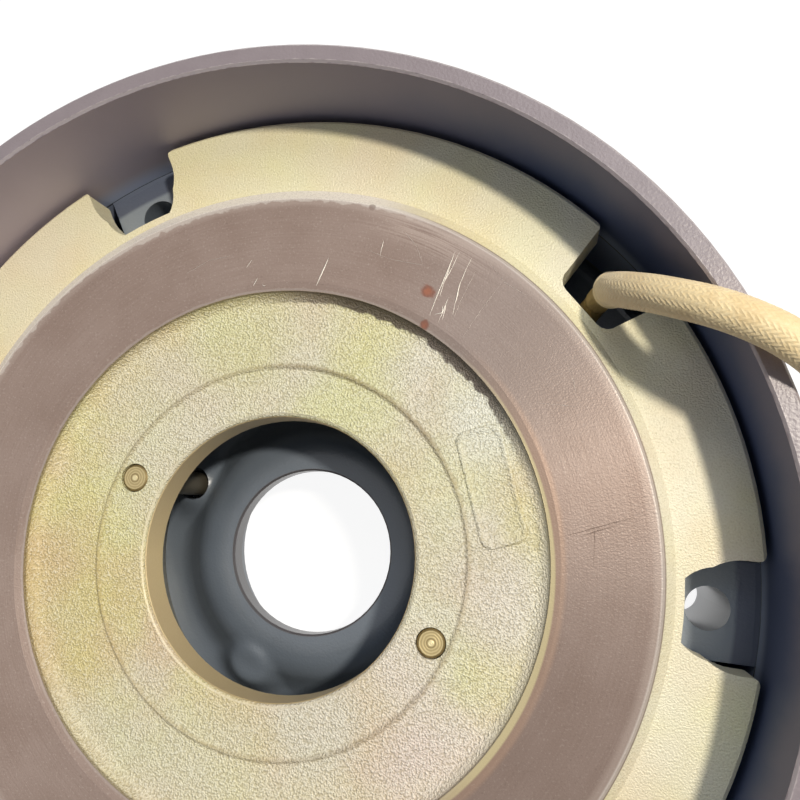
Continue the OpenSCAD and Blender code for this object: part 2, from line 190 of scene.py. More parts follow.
def startMaterial(name, metallic, roughness):
    # a material whose patterns are measured in millimetres on the part itself
    material = bpy.data.materials.new(name)
    material.use_nodes = True
    tree = material.node_tree
    shader = tree.nodes["Principled BSDF"]
    connect(tree, shader, {"Metallic": metallic, "Roughness": roughness})
    spot = addNode(tree, "TexCoord", out="Object")
    place = addNode(tree, "VectorMath", {0: spot, "Scale": 1 / mm}, op="SCALE")
    return material, tree, shader, place


def oneColour(name, code, metallic, roughness):
    material, tree, shader, place = startMaterial(name, metallic, roughness)
    connect(tree, shader, {"Base Color": linearColour(code)})
    return material


def polarPlace(tree, place):
    # radius from the brake's axis, angle round it, and the three axes
    flat = addNode(tree, "VectorMath", [place, (1, 1, 0)], op="MULTIPLY")
    radius = addNode(tree, "VectorMath", [flat], out="Value", op="LENGTH")
    axes = addNode(tree, "SeparateXYZ", [place], out=None)
    angle = addNode(tree, "Math", [axes["Y"], axes["X"]], op="ARCTAN2")
    return radius, angle, axes


def overlap(tree, mask, *others):
    # where all of the masks hold
    for other in others:
        mask = addNode(tree, "Math", [mask, other], op="MULTIPLY")
    return mask


def band(tree, value, low, high, soft):
    # 1 between two limits, with soft edges; None leaves that end open
    masks = []
    for limit, before, after in ((low, 0, 1), (high, 1, 0)):
        if limit is not None:
            edge = [value, limit - soft / 2, limit + soft / 2, before, after]
            masks.append(addNode(tree, "MapRange", edge, interpolation_type="SMOOTHSTEP"))
    return overlap(tree, *masks)


def facing(tree, angle, side, low, high):
    # 1 towards one side of the brake and 0 away from it; the limits are cosines
    turned = addNode(tree, "Math", [angle, math.radians(side)], op="SUBTRACT")
    turned = addNode(tree, "Math", [turned], op="COSINE")
    return addNode(tree, "MapRange", [turned, low, high])


def spotMask(tree, place, middle, stir, swing, reach, soft):
    # a spot whose edge is pushed in and out by a noise; a very soft edge also thins its middle
    apart = addNode(tree, "VectorMath", [place, middle], out="Value", op="DISTANCE")
    apart = addNode(tree, "Math", [stir, swing, apart], op="MULTIPLY_ADD")
    return band(tree, apart, -1, reach, soft)


def layColours(tree, base, layers):
    # colours laid over each other, each with its mask and the share of it that is taken
    for mask, share, code in layers:
        part = addNode(tree, "Math", [mask, share], op="MULTIPLY")
        base = addNode(tree, "Mix", {0: part, 6: base, 7: linearColour(code)}, out=2, data_type="RGBA")
    return base


# Cable: route points in mm as the CAD has them, then a flat coil and a turned-in end
cableLay = {
    "route": [
        (69.7, 55.0, 40.8), (70.8, 55.4, 44.8), (71.5, 55.0, 49.0), (72.2, 54.0, 53.4), (73.4, 52.6, 58.0),
        (75.4, 50.9, 62.6), (78.2, 49.0, 67.0), (81.8, 46.8, 71.0), (86.2, 44.4, 74.4), (91.4, 41.6, 76.4),
        (97.0, 38.2, 77.0), (102.4, 34.2, 75.8), (106.6, 30.0, 72.4), (109.4, 26.4, 67.0),
        (110.8, 23.6, 59.0), (111.6, 21.4, 49.0), (112.4, 19.0, 39.0), (113.6, 16.0, 29.0),
        (115.4, 12.0, 19.5), (118.0, 6.6, 11.0), (120.8, 0.0, 6.0), (123.0, -8.0, 5.0), (124.2, -16.0, 5.0)],
    "stepsBetween": 5,
    "coilCentre": (172.0, -16.0),
    "coilHeight": 5.0,
    "coilRadius": 47.8,
    "coilPitch": 7.7,
    "coilTurns": 1.5,
    "stepsPerTurn": 48,
    "endRadius": 18.5,
    "endTurn": 75,
    "endSteps": 12,
    "diameter": 7.6,
    "coreDiameter": 6.7,
    "sleeveDiameter": 5.6,
    "braidFrom": 12,
    "length": 580,
    "sides": 14,
}


def cablePath(c):
    route = [Vector(p) for p in c["route"]]
    points = []
    for i in range(len(route) - 1):
        before = route[max(i - 1, 0)]
        here, after = route[i], route[i + 1]
        beyond = route[min(i + 2, len(route) - 1)]
        # smooth curve through the points
        bend = 2 * before - 5 * here + 4 * after - beyond
        twist = 3 * here - before - 3 * after + beyond
        for n in range(c["stepsBetween"]):
            t = n / c["stepsBetween"]
            points.append(0.5 * (2 * here + (after - before) * t + bend * t ** 2 + twist * t ** 3))
    x, y = c["coilCentre"]
    steps = round(c["coilTurns"] * c["stepsPerTurn"])
    for n in range(steps + 1):
        turns = n / c["stepsPerTurn"]
        reach = c["coilRadius"] - c["coilPitch"] * turns
        angle = math.pi + 2 * math.pi * turns
        points.append(Vector((x + reach * math.cos(angle), y + reach * math.sin(angle), c["coilHeight"])))
    pivot = points[-1] - Vector((c["endRadius"], 0, 0))
    for n in range(1, c["endSteps"] + 1):
        angle = math.radians(c["endTurn"] * n / c["endSteps"])
        points.append(pivot + c["endRadius"] * Vector((math.cos(angle), math.sin(angle), 0)))
    return [p * mm for p in points]


def ringFaces(rings, sides):
    # faces of a closed form made of rings of points, one after the other
    faces = []
    for i in range(rings - 1):
        for j in range(sides):
            k = (j + 1) % sides
            faces.append((i * sides + j, i * sides + k, (i + 1) * sides + k, (i + 1) * sides + j))
    last = (rings - 1) * sides
    return faces + [tuple(reversed(range(sides))), tuple(range(last, last + sides))]


def sweepTube(points, radii, sides):
    # closed tube along a path, with a frame that doesn't twist
    verts = []
    side = None
    for i, p in enumerate(points):
        along = (points[min(i + 1, len(points) - 1)] - points[max(i - 1, 0)]).normalized()
        side = along.orthogonal() if side is None else side - along * side.dot(along)
        side.normalize()
        other = along.cross(side)
        for j in range(sides):
            a = 2 * math.pi * j / sides
            verts.append(p + radii[i] * (side * math.cos(a) + other * math.sin(a)))
    return verts, ringFaces(len(points), sides)


# Varnished glass braid: cream yarn with a dull shine, browner where the varnish has gathered
braidLook = {"stain": 7.0, "fibre": 0.5, "fibreDepth": 0.06, "sheen": 0.4}


def glassBraid(c):
    material, tree, shader, place = startMaterial("varnishedGlassBraid", 0.0, 0.55)
    broad = addNode(tree, "TexNoise", {"Vector": place, "Scale": 1 / c["stain"]})
    fibre = addNode(tree, "TexNoise", {"Vector": place, "Scale": 1 / c["fibre"], "Detail": 3.0})
    stained = band(tree, broad, 0.56, None, 0.16)
    colour = layColours(tree, linearColour("#fbdda2"), [(fibre, 1.0, "#ffefc6"), (stained, 0.4, "#dfc18c")])
    bump = addNode(tree, "Bump", {"Strength": 0.35, "Distance": c["fibreDepth"] * mm, "Height": fibre})
    connect(tree, shader, {"Base Color": colour, "Normal": bump, "Sheen Weight": c["sheen"]})
    return material


braidMaterial = glassBraid(braidLook)
# Inner sleeve: dull tan silicone, seen where it comes out of the braid
coreMaterial = oneColour("tanSiliconeCore", "#dcc48e", 0.0, 0.6)
pathPoints = cablePath(cableLay)
pathLength = sum((b - a).length for a, b in zip(pathPoints, pathPoints[1:]))
braidPath = pathPoints[cableLay["braidFrom"]:]
coreRadii = [cableLay["sleeveDiameter"] * mm / 2] * (cableLay["braidFrom"] + 1)
coreRadii += [cableLay["coreDiameter"] * mm / 2] * (len(pathPoints) - len(coreRadii))
coilCable = newPiece("coilCable", *sweepTube(pathPoints, coreRadii, cableLay["sides"]), coreMaterial)
print("cable of", round(pathLength / mm), "mm laid")


def startTree(name, inputs):
    # a node tree with named inputs, and the sockets that give them
    tree = bpy.data.node_groups.new(name, "GeometryNodeTree")
    for label, kind in inputs.items():
        tree.interface.new_socket(label, in_out="INPUT", socket_type="NodeSocket" + kind)
    tree.interface.new_socket("Grown", in_out="OUTPUT", socket_type="NodeSocketGeometry")
    return tree, addNode(tree, "NodeGroupInput", out=None)


def endTree(tree, grown, finish):
    real = addNode(tree, "GeometryNodeRealizeInstances", [grown])
    coloured = addNode(tree, "GeometryNodeSetMaterial", {"Geometry": real, "Material": finish})
    addNode(tree, "NodeGroupOutput", [coloured], out=None)
    return tree


def growNodes(name, paths, tree, inputs):
    # lines in, a plain mesh of what the node tree grows on them out
    verts, edges = [], []
    for path in paths:
        edges += [(len(verts) + i, len(verts) + i + 1) for i in range(len(path) - 1)]
        verts += path
    seed = bpy.data.meshes.new(name + "Lines")
    seed.from_pydata(verts, edges, [])
    carrier = bpy.data.objects.new(name + "Lines", seed)
    bpy.context.collection.objects.link(carrier)
    modifier = carrier.modifiers.new(name, "NODES")
    modifier.node_group = tree
    for socket in tree.interface.items_tree:
        if socket.in_out == "INPUT" and socket.name in inputs:
            modifier[socket.identifier] = inputs[socket.name]
    grown = bpy.data.meshes.new_from_object(carrier.evaluated_get(bpy.context.evaluated_depsgraph_get()))
    bpy.data.objects.remove(carrier)
    grown.name = name
    piece = bpy.data.objects.new(name, grown)
    bpy.context.collection.objects.link(piece)
    return piece


# Braid: yarns that wind both ways round the cable, each over two and under two
braidSizes = {
    "ways": {"braidRight": 1.0, "braidLeft": -1.0},
    "yarnsEachWay": 24,
    "layLength": 28.0,
    "centreRadius": 3.52,
    "lift": 0.045,
    "yarnWidth": 0.95,
    "yarnThickness": 0.13,
    "step": 0.6,
    # folded end where the sleeve comes out: place along the cable, and radius
    "fold": [(-0.2, 2.6), (-0.4, 3.2), (-0.1, 3.65), (0.4, 3.85), (0.9, 3.8), (1.3, 3.6), (1.6, 3.2)],
    "foldSides": 36,
}


def braidTree():
    tree, given = startTree("cableBraid", {
        "Path": "Geometry", "Yarns": "Int", "Way": "Float", "Lay length": "Float", "Centre radius": "Float",
        "Lift": "Float", "Yarn width": "Float", "Yarn thickness": "Float", "Step": "Float",
        "Finish": "Material"})
    add = partial(addNode, tree)
    line = add("GeometryNodeMeshToCurve", [given["Path"]])
    line = add("GeometryNodeResampleCurve", {"Curve": line, "Length": given["Step"]}, mode="LENGTH")
    copies = add("GeometryNodeDuplicateElements", {"Geometry": line, "Amount": given["Yarns"]},
                 out=None, domain="SPLINE")
    along = add("GeometryNodeSplineParameter", out="Length")
    turns = add("Math", [along, given["Lay length"]], op="DIVIDE")
    turns = add("Math", [turns, given["Way"]], op="MULTIPLY")
    passed = add("Math", [turns, given["Yarns"], copies["Duplicate Index"]], op="MULTIPLY_ADD")
    wound = add("Math", [passed, given["Yarns"]], op="DIVIDE")
    angle = add("Math", [wound, 2 * math.pi], op="MULTIPLY")
    # the yarns of the two ways meet in step, so one is up where the other is down
    phase = add("Math", [passed, math.pi, -math.pi / 4], op="MULTIPLY_ADD")
    wave = add("Math", [phase], op="COSINE")
    wave = add("Math", [wave, given["Way"]], op="MULTIPLY")
    reach = add("Math", [wave, given["Lift"], given["Centre radius"]], op="MULTIPLY_ADD")
    ahead = add("GeometryNodeInputTangent")
    side = add("GeometryNodeInputNormal")
    outward = add("VectorRotate", {"Vector": side, "Axis": ahead, "Angle": angle})
    offset = add("VectorMath", {0: outward, "Scale": reach}, op="SCALE")
    kept = add("GeometryNodeStoreNamedAttribute", {"Geometry": copies[0], "Name": "outward", "Value": outward},
               data_type="FLOAT_VECTOR", domain="POINT")
    moved = add("GeometryNodeSetPosition", {"Geometry": kept, "Offset": offset})
    faced = add("GeometryNodeInputNamedAttribute", {"Name": "outward"}, data_type="FLOAT_VECTOR")
    turned = add("GeometryNodeSetCurveNormal", {"Curve": moved, "Normal": faced}, mode="FREE")
    wide = add("Math", [given["Yarn width"], 0.5], op="MULTIPLY")
    thick = add("Math", [given["Yarn thickness"], 0.5], op="MULTIPLY")
    size = add("CombineXYZ", [thick, wide, 1.0])
    ring = add("GeometryNodeCurvePrimitiveCircle", {"Resolution": 3, "Radius": 1.0})
    section = add("GeometryNodeTransform", {"Geometry": ring, "Scale": size})
    yarns = add("GeometryNodeCurveToMesh", {"Curve": turned, "Profile Curve": section, "Fill Caps": True})
    flat = add("GeometryNodeSetShadeSmooth", {0: yarns, "Shade Smooth": False})
    return endTree(tree, flat, given["Finish"])


def foldEnd(c):
    ahead = (braidPath[1] - braidPath[0]).normalized()
    points = [braidPath[0] + ahead * along * mm for along, reach in c["fold"]]
    radii = [reach * mm for along, reach in c["fold"]]
    return newPiece("braidEnd", *sweepTube(points, radii, c["foldSides"]), braidMaterial)


yarnTree = braidTree()
braids = [growNodes(name, [braidPath], yarnTree, {
    "Yarns": braidSizes["yarnsEachWay"], "Way": way, "Lay length": braidSizes["layLength"] * mm,
    "Centre radius": braidSizes["centreRadius"] * mm, "Lift": braidSizes["lift"] * mm,
    "Yarn width": braidSizes["yarnWidth"] * mm, "Yarn thickness": braidSizes["yarnThickness"] * mm,
    "Step": braidSizes["step"] * mm, "Finish": braidMaterial}) for name, way in braidSizes["ways"].items()]
braidEnd = foldEnd(braidSizes)
print("braid has", sum(len(piece.data.polygons) for piece in braids), "faces")

for piece in (coilCable, *braids, braidEnd):
    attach(piece, "housing")
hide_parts("coil_cable", "cable_bundle")

# Pressure plate: an iron casting in yellow chromate, with a ground ring that has browned and worn
plateLook = {
    # radii and heights of the plate's forms
    "friction": (60.0, 79.2),
    "chamferFoot": 82.0,
    "filmFrom": 79.9,
    "lipFoot": 58.0,
    "wallFoot": 57.0,
    "ridge": 41.4,
    "bore": 30.2,
    "sectorTop": 49.6,
    "faceTop": 52.0,
    # size and detail of each noise pattern
    "patterns": {"cast": (0.44, 2.0), "sector": (0.4, 2.0), "ring": (0.35, 1.0), "speck": (0.5, 2.0),
                 "cloud": (14.0, 4.0), "ragged": (3.5, 3.0), "nibbled": (2.6, 5.0)},
    "grindGap": 0.35,
    "grindReach": 16.0,
    # depths of the relief
    "castDepth": 0.25,
    "sectorDepth": 0.13,
    "ringDepth": 0.035,
    "boreDepth": 0.01,
    # from left to right where the film gets paler
    "paler": (-70.0, 60.0),
    # angle of a side, and the cosines where its mask begins and is full
    "grimeAndShadeSide": (56, 0.76, 0.95),
    "paintedLitSide": (-10, 0.55, 0.85),
    "darkerRingSide": (-55, 0.55, 0.95),
    # stretches of the circle, in radians
    "paintedSheenAngles": (0.95, 1.25),
    "greyAngles": (0.4, 1.0),
    "wornMost": (1.72, 2.1),
    "broaderLip": (0.35, -0.5),
    # angle in degrees where the worn side begins
    "wornFrom": 68,
    # place and size of single marks on the ring
    "rustSpots": [(33.7, 56.2, 1.7), (32.8, 48.4, 1.2)],
    "nick": (21.5, 75.8, 0.75),
    # how far the noise pushes the edge of the dirt and the rust
    "tear": 4.0,
    # shift, size, share and colour of the film's patches
    "patches": [
        ((140, 60, 20), 30.0, 0.7, "#e2e196"),
        ((-90, 210, 50), 24.0, 0.45, "#dcbf9d"),
        ((300, -40, 10), 34.0, 0.5, "#e1e2d5"),
    ],
    # place, size, share and colour of single stains in the film
    "stains": [
        (29.5, -21.0, 9.0, 0.6, "#e9dfd6"),
        (38.0, -42.0, 16.0, 0.6, "#eaddda"),
        (8.0, -50.0, 14.0, 0.5, "#e8dcd8"),
        (-10.0, 50.0, 18.0, 0.45, "#d8d692"),
        (45.0, 28.0, 11.0, 0.6, "#eceee6"),
        (16.0, 33.0, 14.0, 0.42, "#dde098"),
        (20.0, 49.0, 13.0, 0.38, "#dcdc94"),
        (54.0, 6.0, 8.0, 0.35, "#dbd690"),
        (-14.0, -43.0, 14.0, 0.5, "#e6dfcc"),
        (9.0, -33.0, 11.0, 0.5, "#e3e4d8"),
        (49.0, -10.0, 10.0, 0.5, "#eae5dc"),
        (-48.0, -14.0, 18.0, 0.35, "#d9bd84"),
    ],
    # what the shader takes on the film and on the ground ring
    "shine": {"Metallic": (0.12, 0.22), "Roughness": (0.5, 0.42), "Specular IOR Level": (0.5, 0.25)},
    "spread": 0.7,
}


def chromatedIron(c):
    material, tree, shader, place = startMaterial("yellowChromatedIron", 0.15, 0.55)
    add = partial(addNode, tree)
    radius, angle, axes = polarPlace(tree, place)
    ringLow, ringHigh = c["friction"]
    lipFoot, wallFoot, filmFrom = c["lipFoot"], c["wallFoot"], c["filmFrom"]
    noise = {name: add("TexNoise", {"Vector": place, "Scale": 1 / size, "Detail": detail})
             for name, (size, detail) in c["patterns"].items()}

    # chromate film: straw, with lemon, rose and pale patches as its thickness changes
    sideways = add("MapRange", [axes["X"], c["paler"][0], c["paler"][1]])
    film = layColours(tree, linearColour("#e2ce9f"), [(sideways, 1.0, "#e6e2d4")])
    for shift, size, share, code in c["patches"]:
        spot = add("VectorMath", [place, shift], op="ADD")
        cloud = add("TexNoise", {"Vector": spot, "Scale": 1 / size, "Detail": 3.0})
        film = layColours(tree, film, [(band(tree, cloud, 0.5, None, 0.25), share, code)])
    # the last cloud also frays the stains
    for x, y, size, share, code in c["stains"]:
        stain = spotMask(tree, place, (x, y, c["sectorTop"]), cloud, size, size * 1.3, size * 0.8)
        film = layColours(tree, film, [(stain, share, code)])

    # pebbled skin of the casting, finer on the outer sectors, with painted shade in its pits and painted
    # highlights on its crests
    inside = band(tree, radius, None, lipFoot, 0.4)
    pebble = add("TexVoronoi", {"Vector": place, "Scale": 1 / c["patterns"]["cast"][0], "Smoothness": 0.4},
                 out="Distance", feature="SMOOTH_F1")
    coarse = add("Math", [pebble, -0.6, noise["cast"]], op="MULTIPLY_ADD")
    coarse = add("MapRange", [coarse, -0.05, 0.5])
    fine = add("MapRange", [noise["sector"], 0.2, 0.8])
    grain = add("Mix", {0: inside, 2: fine, 3: coarse})
    paintedPitShade = band(tree, grain, None, 0.3, 0.4)
    paintedCrestHighlight = band(tree, grain, 0.7, None, 0.4)
    sector = band(tree, radius, filmFrom, None, 1.0)

    # turned bore with a bright edge, and painted shade on its wall towards the top and bottom
    boreWall = band(tree, radius, None, c["bore"] + 0.15, 0.1)
    boreEdge = band(tree, radius, c["bore"] + 0.55, c["bore"] + 0.85, 0.2)
    paintedBoreShade = add("Math", [angle], op="SINE")
    paintedBoreShade = add("Math", [paintedBoreShade], op="ABSOLUTE")

    # dirt along the ridge and under the lip, with painted shade added to one side, where both face away from
    # the lamp
    ragged = add("Math", [noise["ragged"], 0.9, -0.45], op="MULTIPLY_ADD")
    wandering = add("Math", [radius, ragged], op="ADD")
    torn = add("Math", [ragged, c["tear"], radius], op="MULTIPLY_ADD")
    grimeAndShadeSide = facing(tree, angle, *c["grimeAndShadeSide"])
    paintedLitSide = facing(tree, angle, *c["paintedLitSide"])
    ridge = band(tree, wandering, c["ridge"] - 0.6, c["ridge"] + 0.6, 0.9)
    corner = band(tree, radius, wallFoot - 0.6, lipFoot + 0.2, 1.6)
    crack = band(tree, radius, lipFoot - 0.25, lipFoot + 0.3, 0.2)
    grimeAndPaintedShade = overlap(tree, band(tree, torn, wallFoot - 1.1, None, 0.6), inside, grimeAndShadeSide)
    film = layColours(tree, film, [
        # painted shade in the pebbles' pits and painted highlights on their crests
        (paintedPitShade, 0.36, "#9c8c58"),
        (paintedCrestHighlight, 0.42, "#f8f5e4"),
        (sector, 0.4, "#f2e9c3"),
        (boreWall, 0.9, "#edd5a2"),
        # painted shade on the bore wall
        (overlap(tree, paintedBoreShade, boreWall), 0.5, "#8f7b50"),
        (boreEdge, 0.5, "#f0e7cc"),
        (ridge, 0.28, "#84693a"),
        # painted shade: the ridge is darker to one side
        (overlap(tree, ridge, grimeAndShadeSide), 0.35, "#6b5530"),
        # painted shade in the fillet's corner, and painted light over it on the side facing the lamp
        (corner, 0.15, "#a3895a"),
        (overlap(tree, corner, paintedLitSide), 0.5, "#fbf5e2"),
        (crack, 0.65, "#5f4d2c"),
        # dirt and painted shade under the lip, darkest to one side
        (grimeAndPaintedShade, 0.88, "#4b3d38")])

    # ground ring: fine circular marks, browned, with small specks
    sweep = add("Math", [angle, ringHigh / c["grindReach"]], op="MULTIPLY")
    lanes = add("Math", [radius, 1 / c["grindGap"]], op="MULTIPLY")
    lines = add("CombineXYZ", [lanes, sweep])
    grind = add("TexNoise", {"Vector": lines, "Scale": 1.0, "Detail": 2.0})
    tone = add("Math", [grind, 0.5, noise["cloud"]], op="MULTIPLY_ADD")
    tone = add("MapRange", [tone, 0.5, 1.0])
    # painted highlight: a streaky pale patch on the ring's outer half, over one stretch of the circle
    paintedSheenPatch = overlap(tree, band(tree, angle, *c["paintedSheenAngles"], 0.25), band(tree, grind, 0.45, None, 0.25),
                     band(tree, radius, ringHigh - 5.5, None, 5.0))

    # sloping lip: pale yellow on the side facing the lamp, which is painted light, and wider towards one end
    # of it; a bare grey edge elsewhere
    start, full = c["broaderLip"]
    broader = add("MapRange", [angle, start, full, 0.0, 0.8])
    lipPlace = add("Math", [radius, broader], op="SUBTRACT")
    lip = band(tree, lipPlace, None, lipFoot + 0.5, 0.5)
    bareEdge = band(tree, wandering, lipFoot, lipFoot + 0.5, 0.3)
    tinge = band(tree, radius, lipFoot, ringLow + 0.9, 1.2)

    # chamfer: worn bright with a ragged inner edge on one side, and a painted highlight along its edge on the
    # other
    nibbled = add("Math", [noise["nibbled"], 2.6, -0.7], op="MULTIPLY_ADD")
    wornRadius = add("Math", [radius, nibbled], op="ADD")
    mostWorn = band(tree, angle, *c["wornMost"], 0.25)
    wornRadius = add("Math", [mostWorn, 0.3, wornRadius], op="MULTIPLY_ADD")
    wornSide = band(tree, angle, math.radians(c["wornFrom"]), None, 0.3)
    chips = overlap(tree, band(tree, wornRadius, ringHigh, None, 0.4), wornSide)
    worn = overlap(tree, band(tree, radius, ringHigh - 0.1, None, 0.3), wornSide)
    mottled = overlap(tree, band(tree, fine, None, 0.42, 0.4), wornSide, chips)
    x, y, size = c["nick"]
    nick = spotMask(tree, place, (x, y, c["faceTop"]), ragged, 0.0, size, 0.3)
    ground = layColours(tree, linearColour("#927f75"), [
        (tone, 1.0, "#a18f86"),
        (band(tree, noise["speck"], None, 0.34, 0.1), 0.3, "#70625a"),
        (band(tree, noise["speck"], 0.64, None, 0.12), 0.28, "#c4b7ad"),
        # the ring is darker towards one side
        (facing(tree, angle, *c["darkerRingSide"]), 0.35, "#6a5a52"),
        (band(tree, angle, *c["greyAngles"], 0.5), 0.35, "#8b837f"),
        # painted highlight
        (paintedSheenPatch, 0.3, "#dccbc0"),
        (bareEdge, 0.4, "#b7aca4"),
        # painted light on the lip and its slope, on the side facing the lamp
        (overlap(tree, tinge, paintedLitSide), 0.3, "#c4a084"),
        (overlap(tree, lip, paintedLitSide), 0.9, "#cfc298"),
        # a paler band inside the outer edge, and a painted highlight along the edge itself
        (band(tree, radius, ringHigh - 1.6, ringHigh + 0.5, 1.6), 0.3, "#c9bab0"),
        (band(tree, radius, ringHigh - 0.3, ringHigh + 0.5, 0.4), 0.5, "#e0d8d0"),
        (band(tree, radius, filmFrom - 0.2, filmFrom + 0.3, 0.2), 0.4, "#75674c"),
        (chips, 0.8, "#cfc5bc"),
        (worn, 0.95, "#f6f0e6"),
        (mottled, 0.28, "#aba198"),
        (nick, 0.7, "#8f7f76")])

    # rust spots, redder in the middle
    for x, y, size in c["rustSpots"]:
        middle = (x, y, c["faceTop"])
        ground = layColours(tree, ground, [
            (spotMask(tree, place, middle, ragged, c["tear"], size, 0.6), 0.75, "#82503d"),
            (spotMask(tree, place, middle, ragged, c["tear"], size * 0.6, 0.8), 0.6, "#a8694f")])

    # ground face; the film is still on the foot of the chamfer where that isn't worn
    still = add("Math", [1.0, wornSide], op="SUBTRACT")
    still = overlap(tree, still, band(tree, radius, filmFrom, None, 0.25))
    proud = band(tree, axes["Z"], c["sectorTop"] + 0.06, None, 0.1)
    proud = add("Math", [proud, still], op="SUBTRACT", use_clamp=True)
    face = overlap(tree, band(tree, radius, lipFoot, c["chamferFoot"], 0.15), proud)
    colour = add("Mix", {0: face, 6: film, 7: ground}, out=2, data_type="RGBA")
    for name, (onFilm, onFace) in c["shine"].items():
        connect(tree, shader, {name: add("MapRange", {0: face, 3: onFilm, 4: onFace})})

    # the grinding marks run round the axis, so the shine spreads outwards from it
    outward = add("VectorMath", [place, (1, 1, 0)], op="MULTIPLY")
    outward = add("VectorMath", [outward], op="NORMALIZE")
    matt = add("Math", [noise["ring"], 1.5, grind], op="MULTIPLY_ADD")
    relief = add("Mix", {0: face, 2: grain, 3: matt})
    deep = add("MapRange", {0: inside, 3: c["sectorDepth"], 4: c["castDepth"]})
    deep = add("Mix", {0: face, 2: deep, 3: c["ringDepth"]})
    smooth = add("Math", [boreWall, boreEdge], op="MAXIMUM")
    deep = add("Mix", {0: smooth, 2: deep, 3: c["boreDepth"]})
    tall = add("Math", [relief, deep], op="MULTIPLY")
    bump = add("Bump", {"Strength": 0.9, "Distance": mm, "Height": tall})
    connect(tree, shader, {"Base Color": colour, "Normal": bump, "Tangent": outward,
                           "Anisotropic": c["spread"]})
    return material


# Housing: a casting painted blue-grey inside, with a turned wall and rim that have browned, and painted light
# and shade on the wall
housingLook = {
    "rim": (100.3, 104.3),
    "rimTop": 72.0,
    "floorTop": 12.0,
    "hubBore": 19.85,
    "bossTop": 38.0,
    "bossShadowFrom": 95.5,
    "paintedFillBelow": 42.0,
    "browned": 70.0,
    # size and detail of each noise pattern
    "patterns": {"peel": (0.6, 2.0), "broad": (22.0, 3.0), "smear": (5.0, 5.0), "nicks": (1.8, 3.0)},
    "streak": 9.0,
    "turning": 0.4,
    # depths of the relief
    "peelDepth": 0.09,
    "turningDepth": 0.01,
    # angle of a side, and the cosines where its mask begins and is full
    "paintedLitWallSide": (150, -0.1, 0.9),
    # what the shader takes on the paint and on the turned wall
    "gloss": (0.36, 0.55),
    "coat": 0.5,
    "coatRoughness": 0.3,
    "bareMetal": 0.35,
}


